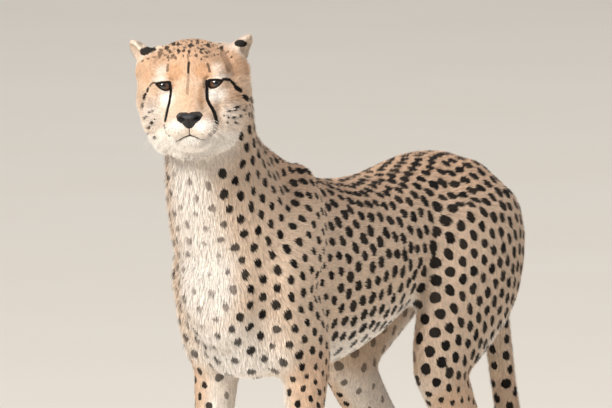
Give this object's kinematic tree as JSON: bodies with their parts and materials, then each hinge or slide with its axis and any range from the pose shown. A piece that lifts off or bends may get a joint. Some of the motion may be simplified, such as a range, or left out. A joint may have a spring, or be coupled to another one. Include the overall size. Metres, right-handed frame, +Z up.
{
  "type": "cheetah, life-size still model",
  "caption": "Adult cheetah standing square with its head raised and turned to its left, a still life-size model for display.",
  "frame": {"origin": "on the floor, in the middle of the model's footprint", "axes": "+Z up, -Y the way the body faces, +X the animal's left side"},
  "size_m": [0.2576, 1.3388, 0.9885],
  "materials": {
    "coat": "short dense fur, tan above and white below, with solid round black-brown spots",
    "nose": "black nose leather and pads, fine-grained, slightly moist",
    "eye": "amber-brown eye with a round black pupil, wet gloss",
    "claw": "dark horn, satin"
  },
  "bodies": {
    "root": {"head": "coat", "jaw": "coat", "nose": "nose", "ear_left": "coat", "ear_right": "coat", "eye_left": "eye", "eye_right": "eye", "neck": "coat", "trunk": "coat", "forearm_left": "coat", "forearm_right": "coat", "wrist_left": "coat", "wrist_right": "coat", "thigh_left": "coat", "thigh_right": "coat", "shank_left": "coat", "shank_right": "coat", "hock_left": "coat", "hock_right": "coat", "paw_fore_left": "coat", "claw_fore_left_1": "claw", "claw_fore_left_2": "claw", "claw_fore_left_3": "claw", "claw_fore_left_4": "claw", "paw_fore_right": "coat", "claw_fore_right_1": "claw", "claw_fore_right_2": "claw", "claw_fore_right_3": "claw", "claw_fore_right_4": "claw", "paw_hind_left": "coat", "claw_hind_left_1": "claw", "claw_hind_left_2": "claw", "claw_hind_left_3": "claw", "claw_hind_left_4": "claw", "paw_hind_right": "coat", "claw_hind_right_1": "claw", "claw_hind_right_2": "claw", "claw_hind_right_3": "claw", "claw_hind_right_4": "claw", "dewclaw_left": "claw", "dewclaw_right": "claw", "tail_base": "coat", "tail_middle": "coat", "tail_tip": "coat"}
  },
  "joints": []
}
